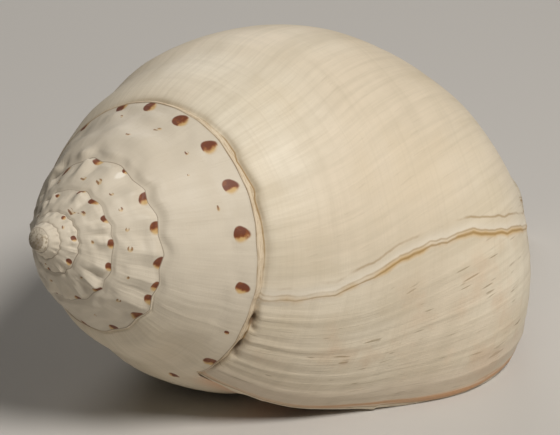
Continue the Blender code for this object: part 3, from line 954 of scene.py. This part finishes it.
class Finish:
    """Short names for the nodes of one material."""

    def __init__(self, name):
        self.material = bpy.data.materials.new(name)
        self.material.use_nodes = True
        self.tree = self.material.node_tree
        self.surface = self.tree.nodes["Principled BSDF"]

    def node(self, kind, **settings):
        node = self.tree.nodes.new(kind)
        for key, value in settings.items():
            setattr(node, key, value)
        return node

    def feed(self, socket, value):
        if isinstance(value, bpy.types.NodeSocket):
            self.tree.links.new(value, socket)
        elif isinstance(value, tuple) and len(value) == 3 and socket.type == "RGBA":
            socket.default_value = (*value, 1)
        else:
            socket.default_value = value

    def math(self, operation, a, b=0.0):
        node = self.node("ShaderNodeMath", operation=operation)
        for socket, value in zip(node.inputs, (a, b)):
            self.feed(socket, value)
        return node.outputs[0]

    def mix(self, share, a, b):
        """Colour a where the share is 0, and colour b where it is 1."""
        node = self.node("ShaderNodeMix", data_type="RGBA")
        first, second = [socket for socket in node.inputs if socket.type == "RGBA"]
        self.feed(node.inputs["Factor"], share)
        self.feed(first, a)
        self.feed(second, b)
        return next(socket for socket in node.outputs if socket.type == "RGBA")

    def tint(self, colour, tint, *shares):
        """A colour with a tint over it, as strong as all the shares multiplied."""
        return self.mix(self.product(*shares), colour, tint)

    def step(self, value, low, high):
        """0 below low, 1 above high, and smooth between; low above high turns it round."""
        node = self.node("ShaderNodeMapRange", interpolation_type="SMOOTHSTEP")
        ends = (0.0, 1.0) if low <= high else (1.0, 0.0)
        for socket, number in zip(node.inputs, (value, min(low, high), max(low, high), *ends)):
            self.feed(socket, number)
        return node.outputs[0]

    def band(self, value, rise_start, rise_end, fall_start, fall_end):
        return self.times(self.step(value, rise_start, rise_end), self.step(value, fall_end, fall_start))

    def split(self, name):
        attribute = self.node("ShaderNodeAttribute", attribute_name=name)
        parts = self.node("ShaderNodeSeparateXYZ")
        self.tree.links.new(attribute.outputs["Vector"], parts.inputs[0])
        return parts.outputs

    def vector(self, x, y, z):
        node = self.node("ShaderNodeCombineXYZ")
        for socket, value in zip(node.inputs, (x, y, z)):
            self.feed(socket, value)
        return node.outputs[0]

    def noise(self, vector, scale, detail, roughness):
        node = self.node("ShaderNodeTexNoise")
        self.feed(node.inputs["Vector"], vector)
        self.feed(node.inputs["Scale"], scale)
        self.feed(node.inputs["Detail"], detail)
        self.feed(node.inputs["Roughness"], roughness)
        return node.outputs["Fac"]

    def times(self, a, b):
        return self.math("MULTIPLY", a, b)

    def plus(self, a, b):
        return self.math("ADD", a, b)

    def minus(self, a, b):
        return self.math("SUBTRACT", a, b)

    def product(self, first, *others):
        for other in others:
            first = self.times(first, other)
        return first

    def between(self, at_none, at_full, share):
        """A number that runs from one value to another as the share runs from 0 to 1."""
        return self.plus(self.times(share, at_full - at_none), at_none)

    def size(self, value):
        return self.math("ABSOLUTE", value)

    def length(self, x, y):
        return self.math("SQRT", self.plus(self.times(x, x), self.times(y, y)))

    def swing(self, noise, reach):
        """A noise turned into a shift to either side."""
        return self.times(self.minus(noise, 0.5), reach)


class Growth:
    """What the mesh knows about its growth, and the noises and shares that several layers of colour use."""

    def __init__(self, f):
        self.f = f
        self.turn, self.row, self.inside = f.split("growth")
        self.mm, self.band, self.scar = f.split("edges")
        self.spot_gap, self.fleck_gap, self.around = f.split("gaps")
        self.pit, self.chip, _ = f.split("worn")
        self.place = f.node("ShaderNodeTexCoord").outputs["Object"]
        self.broad = self.spread("broad")
        self.cloud = self.spread("cloud")
        self.patchy = self.spread("patchy")
        self.grain = self.spread("grain")
        self.fray = self.spread("fray")
        self.fine_lines = self.grown("fine lines")
        self.fine_threads = self.grown("fine threads")
        self.wander_along = f.swing(self.spread("wander"), WANDER_ALONG)
        self.wander_across = f.swing(self.grown("wander"), WANDER_ACROSS)
        self.young = f.step(self.turn, *YOUNG_COLOUR_TURNS)
        self.on_body = f.step(self.turn, *BODY_COLOUR_TURNS)

    def spread(self, name):
        """A noise that knows nothing of growth."""
        return self.f.noise(self.place, *NOISES[name])

    def grown(self, name):
        """A noise drawn out along the lines of growth, or along the whorl."""
        per_turn, per_mm, start, detail, roughness = GROWTH_NOISES[name]
        vector = self.f.vector(self.f.times(self.turn, per_turn), self.f.times(self.mm, per_mm), start)
        return self.f.noise(vector, 1.0, detail, roughness)


def plain_ivory(f, g):
    """Ivory with grey growth lines, fainter threads across them and honey clouds; the spire is whiter."""
    clouded = f.step(g.cloud, 0.35, 0.60)
    clear = f.step(g.cloud, 0.62, 0.40)
    colour = f.mix(f.step(g.broad, 0.36, 0.64), IVORY, CREAM)
    colour = f.tint(colour, GREY_IVORY, f.step(g.grown("broad lines"), 0.40, 0.70), clouded, 0.6)
    colour = f.tint(colour, GREY_IVORY, f.step(g.grown("broad threads"), 0.42, 0.70), clear, 0.3)
    colour = f.tint(colour, GREY_IVORY, f.step(g.fine_lines, 0.40, 0.70), 0.36)
    colour = f.tint(colour, GREY_IVORY, f.step(g.fine_threads, 0.46, 0.68), clouded, 0.2)
    colour = f.tint(colour, HONEY, f.step(g.cloud, 0.46, 0.68), 0.22)
    return f.tint(colour, SPIRE_WHITE, f.step(g.turn, -0.98, -1.15), 0.75)


def young_marks(f, g, colour):
    """Olive dashes, nearly all of them on what grew after the scar, and a warm tint there."""
    often = f.between(0.1, 0.85, g.young)
    dashes = f.step(g.grown("dashes"), 0.66, 0.73)
    colour = f.tint(colour, OLIVE_BROWN, dashes, often, f.step(g.patchy, 0.38, 0.55), 0.8)
    return f.tint(colour, PEACH, g.young, f.step(g.patchy, 0.48, 0.7), 0.35)


def scar_marks(f, g, colour):
    """A brown line in an amber glow along the scar, pale beside it, and two faint lines above it."""
    strength = f.between(0.6, 1.0, f.step(g.row, 0.1, 0.6))
    width = f.between(0.12, 0.42, f.step(g.cloud, 0.35, 0.65))
    distance = f.size(f.plus(g.scar, f.times(g.wander_along, 0.35)))
    line = f.step(f.math("DIVIDE", distance, width), 1.2, 0.1)
    glow = f.step(f.size(f.plus(g.scar, g.wander_along)), 1.3, 0.0)
    colour = f.tint(colour, CHIP_WHITE, f.band(g.scar, -3.2, -0.6, 0.3, 1.4), 0.4)
    colour = f.tint(colour, AMBER, glow, f.step(g.patchy, 0.25, 0.55), strength, 0.75)
    colour = f.tint(colour, SCAR_BROWN, line, strength, 0.62)

    back = f.plus(f.times(g.around, OLDER_SCAR_TURNS), f.times(g.wander_along, 0.8))
    older_line = f.step(f.size(f.plus(g.scar, back)), 0.4, 0.03)
    colour = f.tint(colour, SCAR_BROWN, older_line, f.step(g.patchy, 0.36, 0.58), strength, 0.55)
    back = f.plus(f.times(g.wander_along, 0.6), 0.8)
    second_line = f.step(f.size(f.plus(g.scar, back)), 0.3, 0.02)
    return f.tint(colour, SCAR_BROWN, second_line, f.step(g.cloud, 0.36, 0.56), 0.5)


def suture_marks(f, g, colour):
    """The cream band with brown strands, a dark line of painted shade at its foot, painted olive shade in
    its groove, and painted shade with grime in the suture.
    """
    past_band = f.minus(g.mm, g.band)
    on_band = f.times(f.step(past_band, 0.15, -0.1), g.on_body)
    colour = f.tint(colour, BAND_CREAM, on_band, 0.45)
    # Painted shade: olive darkening in the groove below the band, fading out 2.4 mm past it.
    groove_shade = f.times(f.band(past_band, -0.1, 0.15, 0.1, 2.4), g.on_body)
    colour = f.tint(colour, OLIVE_BROWN, groove_shade, f.between(0.1, 0.4, f.step(g.patchy, 0.35, 0.65)))
    colour = f.tint(colour, SCAR_BROWN, on_band, f.step(g.grown("strands"), 0.45, 0.66), 0.5)
    strength = f.between(0.3, 0.85, f.step(g.patchy, 0.35, 0.6))
    # Painted shade: a thin dark line at the band's foot, where the groove begins.
    foot = f.step(f.size(f.minus(g.mm, f.times(g.band, 1.15))), 0.28, 0.03)
    colour = f.tint(colour, SCAR_BROWN, foot, strength, g.on_body)
    # Painted shade, with some grime, darkens the suture crease itself.
    return f.tint(colour, SHADE_AND_GRIME_BROWN, f.step(g.mm, 0.2, 0.04), f.between(0.1, 0.8, strength))


def wear_and_pit_shade(f, g, colour):
    """Painted shade in the pits, the pale chip, and the stained tip of the spire."""
    # Painted shade: the pits darken with their depth, broken up by grain.
    pit_shade = f.step(f.plus(g.pit, f.swing(g.grain, 0.5)), 0.25, 0.95)
    colour = f.tint(colour, SHADE_AND_GRIME_BROWN, pit_shade, 0.85)
    colour = f.tint(colour, CHIP_WHITE, f.step(g.chip, 0.2, 0.6), 0.8)
    return f.tint(colour, OLIVE_BROWN, f.step(g.turn, -5.5, -5.9), f.step(g.spread("tip"), 0.5, 0.62), 0.55)


def half_moon(f, g, chain_name, gap, waver):
    """A mark that is round and sharp on its older side, and frays through amber on its younger side."""
    number, across, size = f.split(chain_name)
    cell = f.minus(f.math("FRACT", f.plus(number, 0.5)), 0.5)
    radius = f.math("MAXIMUM", size, 0.01)
    u = f.math("DIVIDE", f.plus(f.times(cell, gap), f.times(g.wander_along, waver)), radius)
    v = f.math("DIVIDE", f.plus(across, f.times(g.wander_across, waver)), radius)
    present = f.step(size, 0.05, 0.2)
    younger = f.plus(f.minus(u, f.product(v, v, 0.12)), f.swing(g.fray, 1.3))
    dark = f.product(f.step(f.length(u, v), 1.06, 0.86), f.step(younger, 0.72, 0.12), present)
    amber_reach = f.length(f.times(u, 0.9), v)
    amber = f.product(f.step(amber_reach, 1.12, 0.6), f.step(u, -0.5, 0.3), present)
    return dark, amber, f.step(younger, -0.1, 0.6)


def spot_marks(f, g, colour):
    dark, amber, rim = half_moon(f, g, "spots", g.spot_gap, 0.45)
    on_whorl = f.step(g.row, 1.03, 0.99)
    colour = f.tint(colour, AMBER, amber, on_whorl, 0.8)
    mottle = f.plus(f.times(rim, 0.8), f.times(f.step(g.fray, 0.5, 0.66), 0.35))
    return f.tint(colour, f.mix(mottle, SPOT_BROWN, SPOT_EDGE), dark, on_whorl, 0.96)


def fleck_marks(f, g, colour):
    """Small flecks, each broken into short dashes."""
    dark, amber, _ = half_moon(f, g, "flecks", g.fleck_gap, 0.4)
    dashes = f.step(f.math("SINE", f.times(g.mm, 9.0)), -0.5, 0.4)
    colour = f.tint(colour, AMBER, amber, 0.5)
    brown = f.mix(f.step(g.patchy, 0.4, 0.6), SPOT_BROWN, FLECK_BROWN)
    return f.tint(colour, brown, dark, dashes, 0.85)


def lip_bands(f, g, colour):
    """Lilac, orange and a thin brown line along the lip."""
    edge = f.plus(g.turn, f.plus(f.swing(g.patchy, 0.004), f.swing(g.broad, 0.012)))
    far_along = f.between(0.35, 0.8, f.step(g.row, 0.45, 0.8))
    colour = f.tint(colour, LIP_LILAC, f.band(edge, *LILAC_TURNS), 0.35)
    striped = f.step(g.fine_lines, 0.3, 0.5)
    colour = f.tint(colour, LIP_ORANGE, f.band(edge, *ORANGE_TURNS), far_along, striped)
    return f.tint(colour, SCAR_BROWN, f.band(edge, *BROWN_LINE_TURNS), 0.55)


def fine_surface(f, g):
    """Growth lines and grain that are finer than the mesh, and weaker inside the mouth."""
    lines = f.times(g.fine_lines, f.between(0.4, 1.0, g.young))
    height = f.plus(f.plus(lines, f.times(g.fine_threads, 0.14)), f.times(g.grain, 0.10))
    bump = f.node("ShaderNodeBump")
    f.feed(bump.inputs["Strength"], BUMP_STRENGTH)
    f.feed(bump.inputs["Distance"], BUMP_HEIGHT)
    f.feed(bump.inputs["Height"], f.times(height, f.between(1.0, 0.15, g.inside)))
    return bump.outputs["Normal"]


def shell_finish():
    f = Finish("shell_ivory")
    g = Growth(f)
    colour = plain_ivory(f, g)
    for layer in (young_marks, scar_marks, suture_marks, wear_and_pit_shade, spot_marks, fleck_marks, lip_bands):
        colour = layer(f, g, colour)
    mouth = f.mix(f.step(g.broad, 0.35, 0.65), MOUTH_ORANGE, MOUTH_PALE)
    roughness = f.plus(f.swing(g.patchy, ROUGHNESS_SWING), SHELL_ROUGHNESS)
    f.feed(f.surface.inputs["Base Color"], f.mix(g.inside, colour, mouth))
    f.feed(f.surface.inputs["Roughness"], f.minus(roughness, f.times(g.inside, MOUTH_GLOSS)))
    f.feed(f.surface.inputs["Specular IOR Level"], SHELL_SPECULAR)
    f.feed(f.surface.inputs["Normal"], fine_surface(f, g))
    return f.material


def add(name, data):
    thing = bpy.data.objects.new(name, data)
    bpy.context.scene.collection.objects.link(thing)
    return thing


def make_shell():
    skin = shell_skin()
    mesh = bpy.data.meshes.new("chank")
    mesh.from_pydata(lay_down(np.array(skin.points)).tolist(), [], skin.faces)
    mesh.polygons.foreach_set("use_smooth", np.ones(len(mesh.polygons), bool))
    store_growth(mesh, skin)
    mesh.materials.append(shell_finish())
    shell = add("chank", mesh)
    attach(shell, "root")
    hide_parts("shell")
    return shell


def make_floor():
    mesh = bpy.data.meshes.new("floor")
    corners = [(x * FLOOR_HALF, y * FLOOR_HALF, 0) for x, y in ((-1, -1), (1, -1), (1, 1), (-1, 1))]
    mesh.from_pydata(corners, [], [(0, 1, 2, 3)])
    f = Finish("pale_floor")
    f.feed(f.surface.inputs["Base Color"], FLOOR_COLOUR)
    f.feed(f.surface.inputs["Roughness"], FLOOR_ROUGHNESS)
    mesh.materials.append(f.material)
    floor = add("floor", mesh)


def make_lamp(name, place_m, size, power, colour):
    light = bpy.data.lights.new(name, "AREA")
    light.shape = "DISK"
    light.size = size
    light.energy = power
    light.color = colour
    lamp = add(name, light)
    lamp.location = place_m
    lamp.rotation_euler = (LAMP_AIM - Vector(place_m)).to_track_quat("-Z", "Y").to_euler()


def make_light():
    for name, settings in LAMPS.items():
        make_lamp(name, *settings)
    world = bpy.data.worlds.new("studio")
    world.use_nodes = True
    background = world.node_tree.nodes["Background"]
    background.inputs["Color"].default_value = (*FILL_COLOUR, 1)
    background.inputs["Strength"].default_value = FILL_STRENGTH
    bpy.context.scene.world = world
    bpy.context.scene.view_settings.view_transform = "Standard"


def make_camera():
    look = Vector((math.cos(CAMERA_TILT) * math.cos(CAMERA_HEADING),
                   math.cos(CAMERA_TILT) * math.sin(CAMERA_HEADING), -math.sin(CAMERA_TILT)))
    back = -look
    right = Vector((0, 0, 1)).cross(back).normalized()
    level = Matrix((right, back.cross(right), back)).transposed()
    turn = level @ Matrix.Rotation(CAMERA_ROLL, 3, "Z")
    data = bpy.data.cameras.new("camera")
    data.lens = CAMERA_LENS
    data.sensor_width = CAMERA_SENSOR
    data.clip_start = CAMERA_NEAR
    camera = add("camera", data)
    camera.location = CAMERA_PLACE
    camera.rotation_euler = turn.to_euler()
    bpy.context.scene.camera = camera


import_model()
make_shell()
make_floor()
make_light()
make_camera()
bpy.context.view_layer.update()
